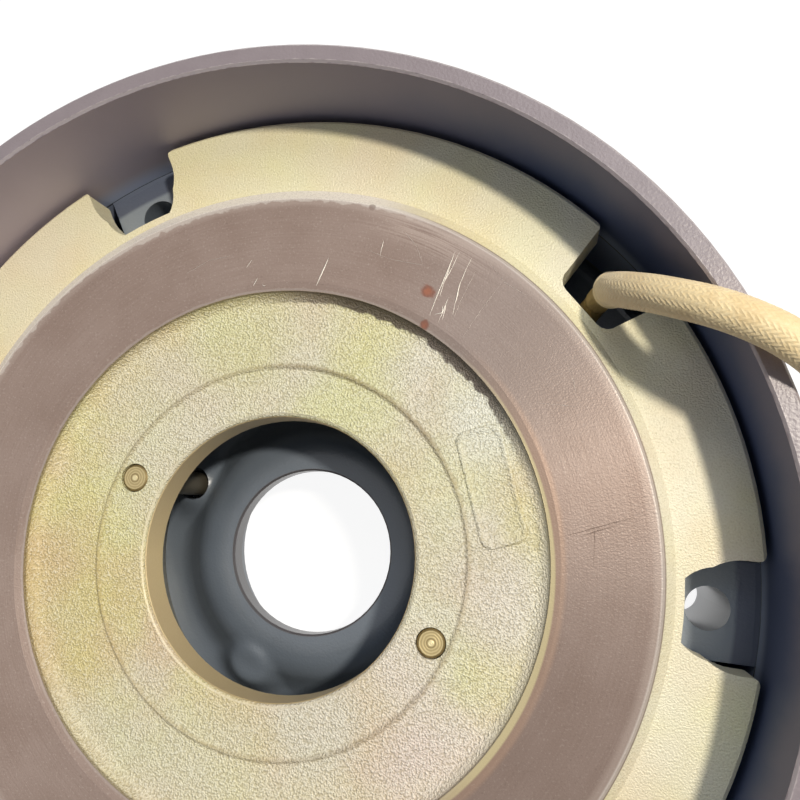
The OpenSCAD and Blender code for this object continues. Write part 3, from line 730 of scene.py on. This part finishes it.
def paintedCasting(c):
    material, tree, shader, place = startMaterial("paintedCastIron", 0.0, 0.4)
    add = partial(addNode, tree)
    radius, angle, axes = polarPlace(tree, place)
    height = axes["Z"]
    inner, outer = c["rim"]
    noise = {name: add("TexNoise", {"Vector": place, "Scale": 1 / size, "Detail": detail})
             for name, (size, detail) in c["patterns"].items()}
    paint = layColours(tree, linearColour("#59626d"), [(noise["broad"], 1.0, "#707984")])

    # turned wall: pale mauve-brown on the side facing the lamp and blue-black on the side in shade, painted
    # light and shade; browned near the rim, with faint drips
    drawnOut = add("VectorMath", [place, (1, 1, 0.18)], op="MULTIPLY")
    streaks = add("TexNoise", {"Vector": drawnOut, "Scale": 1 / c["streak"], "Detail": 4.0})
    level = add("Math", [streaks, 16.0, height], op="MULTIPLY_ADD")
    # painted fill light: the wall below this height is paler
    paintedFillLight = band(tree, height, None, c["paintedFillBelow"], 6.0)
    bareWall = layColours(tree, linearColour("#444f6e"), [
        # painted light on the side of the wall that faces the lamp
        (facing(tree, angle, *c["paintedLitWallSide"]), 1.0, "#aea4af"),
        (band(tree, level, c["browned"], None, 16.0), 0.3, "#968b94"),
        (paintedFillLight, 0.9, "#a4b1cf")])
    wall = overlap(tree, band(tree, radius, inner - 1.0, inner + 0.2, 0.4),
                   band(tree, height, c["floorTop"] + 4, c["rimTop"] - 0.2, 0.3))

    # rim land: mauve-grey bare iron with bright, nicked edges
    land = band(tree, height, c["rimTop"] - 0.6, None, 0.2)
    nicks = add("Math", [noise["nicks"], 0.9, -0.45], op="MULTIPLY_ADD")
    nicked = add("Math", [radius, nicks], op="ADD")
    bare = layColours(tree, linearColour("#82787d"), [
        (noise["smear"], 1.0, "#968c91"),
        (band(tree, nicked, inner, inner + 0.55, 0.25), 0.5, "#c3babb"),
        (band(tree, nicked, outer - 0.5, outer + 0.5, 0.25), 0.4, "#c3babb")])

    # boss faces with a painted shadow on their outer part, the thin machined lip of the hub bore, and the
    # plain outside
    bossFace = band(tree, height, c["bossTop"] - 0.3, c["bossTop"] + 0.3, 0.2)
    paintedBossShadow = overlap(tree, bossFace, band(tree, radius, c["bossShadowFrom"], None, 1.2))
    colour = add("Mix", {0: wall, 6: paint, 7: bareWall}, out=2, data_type="RGBA")
    colour = layColours(tree, colour, [
        (bossFace, 1.0, "#868f98"),
        # painted shadow on the outer part of the boss faces
        (paintedBossShadow, 0.85, "#4a5164"),
        (band(tree, radius, None, c["hubBore"] + 0.45, 0.3), 1.0, "#58565a"),
        (band(tree, radius, outer - 0.3, None, 0.2), 1.0, "#4b4c51")])
    colour = add("Mix", {0: land, 6: colour, 7: bare}, out=2, data_type="RGBA")

    # the turned wall is a little metallic in the light, and has no coat of paint
    gloss = add("MapRange", {0: wall, 3: c["gloss"][0], 4: c["gloss"][1]})
    metal = add("Math", [wall, paintedFillLight], op="SUBTRACT", use_clamp=True)
    metal = add("Math", [metal, c["bareMetal"]], op="MULTIPLY")
    unpainted = add("Math", [wall, land], op="MAXIMUM")
    coat = add("MapRange", {0: unpainted, 3: c["coat"], 4: 0.0})
    lanes = add("Math", [height, 1 / c["turning"]], op="MULTIPLY")
    lines = add("CombineXYZ", [lanes, angle])
    turning = add("TexNoise", {"Vector": lines, "Scale": 1.0, "Detail": 1.0})
    relief = add("Mix", {0: wall, 2: noise["peel"], 3: turning})
    deep = add("MapRange", {0: wall, 3: c["peelDepth"], 4: c["turningDepth"]})
    tall = add("Math", [relief, deep], op="MULTIPLY")
    bump = add("Bump", {"Strength": 0.8, "Distance": mm, "Height": tall})
    connect(tree, shader, {"Base Color": colour, "Normal": bump, "Roughness": gloss, "Metallic": metal,
                           "Coat Weight": coat, "Coat Roughness": c["coatRoughness"]})
    return material


# Studs: turned steel in yellow chromate, with tool rings and a pip on the end
studLook = {
    "circle": 37.6,
    "angle": 153,
    "radius": 3.0,
    "ringGap": 0.6,
    "stir": 1.2,
    "pip": 0.55,
    "plateLow": 40.4,
    "depth": 0.06,
}


def chromatedSteel(c):
    material, tree, shader, place = startMaterial("chromatedTurnedSteel", 0.6, 0.4)
    add = partial(addNode, tree)
    turn = -math.radians(c["angle"])
    turned = add("VectorRotate", {"Vector": place, "Axis": (0, 0, 1), "Angle": turn})
    axes = add("SeparateXYZ", [turned], out=None)
    # both studs lie on one line through the axis, so they share the distance from their own centres
    apart = add("Math", [axes["X"]], op="ABSOLUTE")
    apart = add("Math", [apart, c["circle"]], op="SUBTRACT")
    flat = add("CombineXYZ", [apart, axes["Y"]])
    reach = add("VectorMath", [flat], out="Value", op="LENGTH")
    stir = add("TexNoise", {"Vector": place, "Scale": 1 / c["stir"]})
    wobble = add("Math", [stir, 0.35, reach], op="MULTIPLY_ADD")
    ringPhase = add("Math", [wobble, 2 * math.pi / c["ringGap"]], op="MULTIPLY")
    rings = add("Math", [ringPhase], op="SINE")
    tone = add("MapRange", [rings, -1, 1])
    pip = band(tree, reach, None, c["pip"], 0.2)
    groove = band(tree, reach, c["pip"] + 0.2, c["pip"] + 0.5, 0.2)
    edge = band(tree, reach, c["radius"] - 0.3, None, 0.2)
    shank = band(tree, axes["Z"], None, c["plateLow"], 0.4)
    colour = layColours(tree, linearColour("#a8956a"), [
        (tone, 1.0, "#c2b184"),
        (pip, 1.0, "#ddcfa2"),
        (groove, 0.6, "#7d6c45"),
        (edge, 0.8, "#85724a"),
        (shank, 0.75, "#77746c")])
    raised = add("Math", [pip, 2.0, tone], op="MULTIPLY_ADD")
    bump = add("Bump", {"Strength": 0.5, "Distance": c["depth"] * mm, "Height": raised})
    connect(tree, shader, {"Base Color": colour, "Normal": bump})
    return material


# Plainer finishes: two colours, metallic, roughness, grain in mm and depth of the grain in mm
plainFinishes = {
    "magnet_steel": ("turnedMildSteel", "#6f6f6c", "#93928d", 0.8, 0.42, 0.9, 0.02),
    "bobbin_plastic": ("blackMouldedNylon", "#131313", "#232325", 0.0, 0.5, 0.7, 0.02),
    "copper_wire": ("enamelledCopper", "#8a4a22", "#b86a35", 0.85, 0.32, 0.8, 0.05),
    "potting_resin": ("brownCastResin", "#2c1a0e", "#4a2e18", 0.0, 0.28, 5.0, 0.05),
    "spring_steel": ("bareSpringWire", "#4b4b4e", "#6e6e70", 0.85, 0.38, 0.8, 0.01),
    "zinc_steel": ("zincPlatedSteel", "#9b9c9c", "#c4c5c3", 0.85, 0.36, 1.4, 0.01),
    "black_steel": ("blackOxideSteel", "#161617", "#2b2b2c", 0.6, 0.4, 0.9, 0.01),
    "gland_rubber": ("blackMouldedRubber", "#161616", "#292929", 0.0, 0.65, 1.0, 0.04),
    "lead_insulation": ("tanSiliconeSleeve", "#a8915e", "#bfa873", 0.0, 0.45, 2.2, 0.04),
    "tie_nylon": ("naturalNylon", "#d6d2c2", "#e9e6da", 0.0, 0.45, 1.6, 0.02),
    "core_insulation": ("redSiliconeInsulation", "#7c1f18", "#96291f", 0.0, 0.42, 1.2, 0.02),
}


def plainFinish(name, dark, pale, metallic, roughness, grain, depth):
    material, tree, shader, place = startMaterial(name, metallic, roughness)
    tone = addNode(tree, "TexNoise", {"Vector": place, "Scale": 1 / grain, "Detail": 4.0})
    colour = layColours(tree, linearColour(dark), [(tone, 1.0, pale)])
    bump = addNode(tree, "Bump", {"Strength": 0.6, "Distance": depth * mm, "Height": tone})
    connect(tree, shader, {"Base Color": colour, "Normal": bump})
    return material


finishes = {slot: plainFinish(*values) for slot, values in plainFinishes.items()}
finishes["chromated_iron"] = chromatedIron(plateLook)
finishes["painted_casting"] = paintedCasting(housingLook)
finishes["chromated_steel"] = chromatedSteel(studLook)
finishes["glass_braid"] = braidMaterial
for part in frame["record"]["subparts"]:
    mesh = cadNodes[part["node"]].data
    mesh.materials.clear()
    mesh.materials.append(finishes[part["material_slot"]])
print("finishes put on", len(finishes), "slots")


# Brake springs: round wire with closed end turns
springSizes = {
    "count": 8,
    "circle": 72.5,
    "coilRadius": 4.2,
    "wire": 1.6,
    "turns": 6,
    "stepsPerTurn": 24,
    "wireSides": 10,
    "low": 23.3,
    "high": 39.5,
    "foot": 22.4,
    "travel": 0.8,
}


def springLine(c):
    # middle of the wire of one spring, on the X axis
    pitch = (c["high"] - c["low"] - 2 * c["wire"]) / (c["turns"] - 2)
    points = []
    for n in range(c["turns"] * c["stepsPerTurn"] + 1):
        turn = n / c["stepsPerTurn"]
        closedTurns = min(turn, 1) + max(turn - c["turns"] + 1, 0)
        height = c["low"] + closedTurns * c["wire"] + (turn - closedTurns) * pitch
        a = 2 * math.pi * turn
        x, y = c["circle"] + c["coilRadius"] * math.cos(a), c["coilRadius"] * math.sin(a)
        points.append(Vector((x, y, height)) * mm)
    return points


def springTree():
    tree, given = startTree("brakeSprings", {
        "Line": "Geometry", "Count": "Int", "Wire radius": "Float", "Wire sides": "Int",
        "Finish": "Material"})
    add = partial(addNode, tree)
    line = add("GeometryNodeMeshToCurve", [given["Line"]])
    section = add("GeometryNodeCurvePrimitiveCircle",
                  {"Resolution": given["Wire sides"], "Radius": given["Wire radius"]})
    coil = add("GeometryNodeCurveToMesh", {"Curve": line, "Profile Curve": section, "Fill Caps": True})
    # one spring in the middle of each equal share of the circle
    number = add("GeometryNodeInputIndex")
    share = add("Math", [number, 0.5], op="ADD")
    share = add("Math", [share, given["Count"]], op="DIVIDE")
    angle = add("Math", [share, 2 * math.pi], op="MULTIPLY")
    turn = add("CombineXYZ", {2: angle})
    turn = add("FunctionNodeEulerToRotation", [turn])
    places = add("GeometryNodePoints", {"Count": given["Count"]})
    springs = add("GeometryNodeInstanceOnPoints", {"Points": places, "Instance": coil, "Rotation": turn})
    return endTree(tree, springs, given["Finish"])


springs = growNodes("brakeSprings", [springLine(springSizes)], springTree(), {
    "Count": springSizes["count"], "Wire radius": springSizes["wire"] * mm / 2,
    "Wire sides": springSizes["wireSides"], "Finish": finishes["spring_steel"]})
springs.data.shade_smooth()
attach(springs, "housing")
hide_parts(*["brake_spring_%d" % (i + 1) for i in range(springSizes["count"])])
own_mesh(springs)
print("springs have", len(springs.data.polygons), "faces")


# Hub: the soft cast form of the collar, with its lug and a boss round each stud hole
hubShape = {
    "profile": [(20.2, 22.68), (22.7, 22.78), (25.2, 22.6), (27.7, 21.9), (30.2, 20.2), (32.7, 17.2),
                (35.2, 14.4), (37.7, 12.8), (40.2, 12.2), (42.7, 12.06), (43.2, 12.05)],
    "ringSteps": 60,
    "roundSteps": 220,
    # radius and angle of a bump's centre, its height, reach, length along the circle and steepness
    "bumps": [(31.6, -120, 10.0, 6.4, 1.25, 5), (37.6, 153, 6.8, 7.4, 1.0, 4), (37.6, 333, 6.8, 7.4, 1.0, 4)],
    "softness": 6.0,
    "floor": 12.0,
    "webRadius": 26.5,
    "webLow": 20.0,
    "root": 0.3,
    "holeRadius": 4.2,
    "holeSides": 48,
    # heights of the drill above the floor
    "drill": (-2, 6, 14),
    "sharpAngle": 35,
}


def hubHeight(c, x, y):
    radius = math.hypot(x, y)
    # smooth curve through the profile's points
    points = c["profile"]
    i = max(n for n in range(len(points) - 1) if points[n][0] <= radius + 1e-6)
    (r0, z0), (r1, z1) = points[i], points[i + 1]
    before, after = points[max(i - 1, 0)], points[min(i + 2, len(points) - 1)]
    slope0 = (z1 - before[1]) / (r1 - before[0])
    slope1 = (after[1] - z0) / (after[0] - r0)
    t, wide = (radius - r0) / (r1 - r0), r1 - r0
    collar = ((2 * t ** 3 - 3 * t ** 2 + 1) * z0 + (t ** 3 - 2 * t ** 2 + t) * wide * slope0
              + (3 * t ** 2 - 2 * t ** 3) * z1 + (t ** 3 - t ** 2) * wide * slope1)
    heights = [collar - c["floor"]]
    for reach, angle, height, spread, stretch, steep in c["bumps"]:
        a = math.radians(angle)
        outward = x * math.cos(a) + y * math.sin(a) - reach
        sideways = (y * math.cos(a) - x * math.sin(a)) / stretch
        heights.append(height / (1 + (math.hypot(outward, sideways) / spread) ** steep))
    # the forms run into each other as in a casting
    return c["floor"] + sum(h ** c["softness"] for h in heights) ** (1 / c["softness"])


def castHub(c):
    inner, outer = c["profile"][0][0], c["profile"][-1][0]
    around, rings = c["roundSteps"], c["ringSteps"]
    top, low, faces = [], [], []
    for i in range(rings + 1):
        radius = inner + (outer - inner) * i / rings
        foot = c["webLow"] if radius < c["webRadius"] else c["floor"] - c["root"]
        for j in range(around):
            a = 2 * math.pi * j / around
            x, y = radius * math.cos(a), radius * math.sin(a)
            top.append(Vector((x, y, hubHeight(c, x, y))) * mm)
            low.append(Vector((x, y, foot)) * mm)
    count = len(top)
    for i in range(rings):
        for j in range(around):
            a, b = i * around + j, i * around + (j + 1) % around
            faces.append((a, a + around, b + around, b))
            faces.append((count + a, count + b, count + b + around, count + a + around))
    last = rings * around
    for j in range(around):
        k = (j + 1) % around
        faces.append((j, k, count + k, count + j))
        faces.append((last + k, last + j, count + last + j, count + last + k))
    hub = newPiece("castHub", top + low, faces, finishes["painted_casting"])
    # stud holes, cut through the bosses
    drillVerts, drillFaces = [], []
    for reach, angle, *rest in c["bumps"][1:]:
        a = math.radians(angle)
        foot = Vector((reach * math.cos(a), reach * math.sin(a), 0))
        ends = [(foot + Vector((0, 0, c["floor"] + z))) * mm for z in c["drill"]]
        verts, drill = sweepTube(ends, [c["holeRadius"] * mm] * len(ends), c["holeSides"])
        drillFaces += [tuple(len(drillVerts) + v for v in face) for face in drill]
        drillVerts += verts
    drills = newPiece("studDrills", drillVerts, drillFaces, finishes["painted_casting"])
    cut = hub.modifiers.new("studHoles", "BOOLEAN")
    cut.operation = "DIFFERENCE"
    cut.solver = "EXACT"
    cut.object = drills
    cutMesh = bpy.data.meshes.new_from_object(hub.evaluated_get(bpy.context.evaluated_depsgraph_get()))
    hub.modifiers.clear()
    hub.data = cutMesh
    bpy.data.objects.remove(drills)
    cutMesh.set_sharp_from_angle(angle=math.radians(c["sharpAngle"]))
    return hub


hub = castHub(hubShape)
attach(hub, "housing")
print("hub cast with", len(hub.data.polygons), "faces")

# Cast fillet that runs the wall under the lip into the plate's centre
filletSizes = {
    "corner": (57.0, 49.0),
    "wallAngle": 68.2,
    "reach": 2.1,
    "sunk": 0.3,
    "steps": 14,
    "round": 240,
    "sharpAngle": 40,
}


def castFillet(c):
    cornerRadius, cornerHeight = c["corner"]
    bend = c["reach"] / math.tan(math.radians(c["wallAngle"] / 2))
    profile = []
    for n in range(c["steps"] + 1):
        a = math.radians(-90 + c["wallAngle"] * n / c["steps"])
        reach = cornerRadius - c["reach"] + bend * math.cos(a)
        profile.append((reach, cornerHeight + bend * (1 + math.sin(a))))
    low = cornerHeight - c["sunk"]
    profile += [(profile[-1][0] + c["sunk"], profile[-1][1]), (cornerRadius + c["sunk"], low),
                (profile[0][0], low)]
    verts, faces = [], []
    count = len(profile)
    for j in range(c["round"]):
        a = 2 * math.pi * j / c["round"]
        verts += [Vector((r * math.cos(a), r * math.sin(a), z)) * mm for r, z in profile]
        k = (j + 1) % c["round"]
        for i in range(count):
            m = (i + 1) % count
            faces.append((j * count + i, k * count + i, k * count + m, j * count + m))
    fillet = newPiece("castFillet", verts, faces, finishes["chromated_iron"])
    fillet.data.set_sharp_from_angle(angle=math.radians(c["sharpAngle"]))
    return fillet


fillet = castFillet(filletSizes)

# Low cast panel on the plate, left bare
panelSizes = {
    "centre": (46.3, 14.6),
    "long": 25.3,
    "wide": 10.2,
    "turn": -76.7,
    "corner": 2.6,
    "cornerSteps": 8,
    # how far in from the outline, and height
    "rings": [(0.0, 48.9), (0.25, 49.3), (0.6, 49.42), (0.95, 49.3), (1.25, 49.1), (1.6, 49.06)],
}


def castPanel(c):
    turn = Matrix.Rotation(math.radians(c["turn"]), 3, "Z")
    centre = Vector((*c["centre"], 0))
    verts = []
    for inset, height in c["rings"]:
        corner = c["corner"] - inset / 2
        for quarter, (signX, signY) in enumerate(((1, 1), (-1, 1), (-1, -1), (1, -1))):
            for n in range(c["cornerSteps"] + 1):
                a = math.radians(90 * quarter + 90 * n / c["cornerSteps"])
                flat = Vector((signX * (c["long"] / 2 - inset - corner) + corner * math.cos(a),
                               signY * (c["wide"] / 2 - inset - corner) + corner * math.sin(a), height))
                verts.append((turn @ flat + centre) * mm)
    faces = ringFaces(len(c["rings"]), 4 * (c["cornerSteps"] + 1))
    return newPiece("castPanel", verts, faces, finishes["chromated_iron"])


panel = castPanel(panelSizes)

# Scratches: thin lines where the browned skin is cut through
scratchSizes = {
    "height": 52.02,
    "thickness": 0.02,
    "step": 0.35,
    "wander": 0.25,
    "waver": 2.5,
    # bright bare metal where a mark is fresh or rubbed, dark where dirt has filled it
    "finishes": {"scratchedBareIron": "#efe6da", "rubbedBareIron": "#c9bcb2", "dirtFilledScratch": "#8b776b"},
    # width, seed, finish and lines of each kind
    "kinds": {
        "deepScratches": (0.42, 3.0, "scratchedBareIron", [
            [(11.8, 64.9), (10.0, 60.9), (9.0, 58.6)],
            [(39.7, 64.5), (37.6, 59.3), (35.7, 54.9), (34.1, 50.8)],
            [(43.2, 62.8), (41.9, 60.2), (40.5, 56.9), (39.0, 50.6)],
        ]),
        "fineScratches": (0.28, 8.0, "scratchedBareIron", [
            [(24.1, 67.9), (23.6, 66.2), (23.3, 64.5)],
            [(-6.0, 65.4), (-7.3, 63.6)],
            [(38.9, 61.9), (37.2, 57.8), (36.3, 54.8)],
            [(37.6, 52.9), (36.8, 49.6)],
            [(35.2, 50.9), (36.8, 51.2), (36.9, 52.7)],
            [(-2.6, 59.4), (-3.1, 59.0), (-3.4, 59.6)],
            [(40.6, 64.3), (39.0, 60.9), (37.2, 57.9)],
            [(38.2, 54.6), (36.8, 51.1), (35.9, 49.0)],
            [(-4.5, 61.2), (-5.6, 59.3)],
        ]),
        "darkScratches": (0.17, 5.0, "dirtFilledScratch", [
            [(60.6, 4.6), (67.3, 6.4), (73.9, 8.2)],
            [(64.0, 4.6), (68.2, 6.0), (70.4, 6.5)],
            [(66.5, 6.0), (66.6, 3.4), (66.2, -1.4)],
        ]),
        "hairScratches": (0.15, 11.0, "rubbedBareIron", [
            [(49.6, 57.3), (45.1, 51.5), (41.0, 45.6)],
            [(44.0, 60.0), (40.6, 53.2), (38.7, 48.8)],
            [(55.9, 31.4), (60.3, 30.9), (65.2, 30.2)],
            [(47.0, 61.5), (50.2, 57.0), (54.8, 53.9)],
            [(62.0, 40.1), (63.4, 36.5), (63.9, 33.0)],
            [(20.2, 66.1), (26.3, 63.4), (33.0, 61.8)],
            [(28.8, 69.6), (31.5, 66.0), (32.6, 62.2)],
            [(-21.8, 63.0), (-16.2, 65.8), (-10.9, 66.7)],
        ]),
    },
}


def scratchTree(c):
    tree, given = startTree("plateScratches", {
        "Lines": "Geometry", "Width": "Float", "Thickness": "Float", "Step": "Float", "Wander": "Float",
        "Seed": "Float", "Finish": "Material"})
    add = partial(addNode, tree)
    line = add("GeometryNodeMeshToCurve", [given["Lines"]])
    line = add("GeometryNodeResampleCurve", {"Curve": line, "Length": given["Step"]}, mode="LENGTH")
    spot = add("GeometryNodeInputPosition")
    stir = add("TexNoise", {"Vector": spot, "W": given["Seed"], "Scale": 1 / (c["waver"] * mm)},
               out=None, noise_dimensions="4D")
    off = add("VectorMath", [stir["Color"], (0.5, 0.5, 0.5)], op="SUBTRACT")
    off = add("VectorMath", [off, (1, 1, 0)], op="MULTIPLY")
    off = add("VectorMath", {0: off, "Scale": given["Wander"]}, op="SCALE")
    line = add("GeometryNodeSetPosition", {"Geometry": line, "Offset": off})
    line = add("GeometryNodeSetCurveNormal", {"Curve": line}, mode="Z_UP")
    # thin at both ends and uneven between them
    along = add("GeometryNodeSplineParameter", out="Factor")
    swell = add("Math", [along, math.pi], op="MULTIPLY")
    swell = add("Math", [swell], op="SINE")
    swell = add("Math", [swell, 0.04], op="MAXIMUM")
    swell = add("Math", [swell, 0.5], op="POWER")
    uneven = add("MapRange", [stir["Fac"], 0.35, 0.6, 0.3, 1.0])
    weight = add("Math", [swell, uneven], op="MULTIPLY")
    half = add("Math", [given["Width"], 0.5], op="MULTIPLY")
    thick = add("Math", [given["Thickness"], 0.5], op="MULTIPLY")
    size = add("CombineXYZ", [half, thick, 1.0])
    ring = add("GeometryNodeCurvePrimitiveCircle", {"Resolution": 4, "Radius": 1.0})
    section = add("GeometryNodeTransform", {"Geometry": ring, "Scale": size})
    marks = add("GeometryNodeCurveToMesh",
                {"Curve": line, "Profile Curve": section, "Scale": weight, "Fill Caps": True})
    return endTree(tree, marks, given["Finish"])


def cutScratches(c):
    tree = scratchTree(c)
    metals = {name: oneColour(name, code, 0.3, 0.45) for name, code in c["finishes"].items()}
    pieces = []
    for name, (width, seed, finish, lines) in c["kinds"].items():
        paths = [[Vector((x, y, c["height"])) * mm for x, y in line] for line in lines]
        pieces.append(growNodes(name, paths, tree, {
            "Width": width * mm, "Thickness": c["thickness"] * mm, "Step": c["step"] * mm,
            "Wander": c["wander"] * mm, "Seed": seed, "Finish": metals[finish]}))
    return pieces


scratches = cutScratches(scratchSizes)
for piece in (fillet, panel, *scratches):
    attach(piece, "plate")
print("fillet, panel and", len(scratches), "kinds of scratches put on the plate")
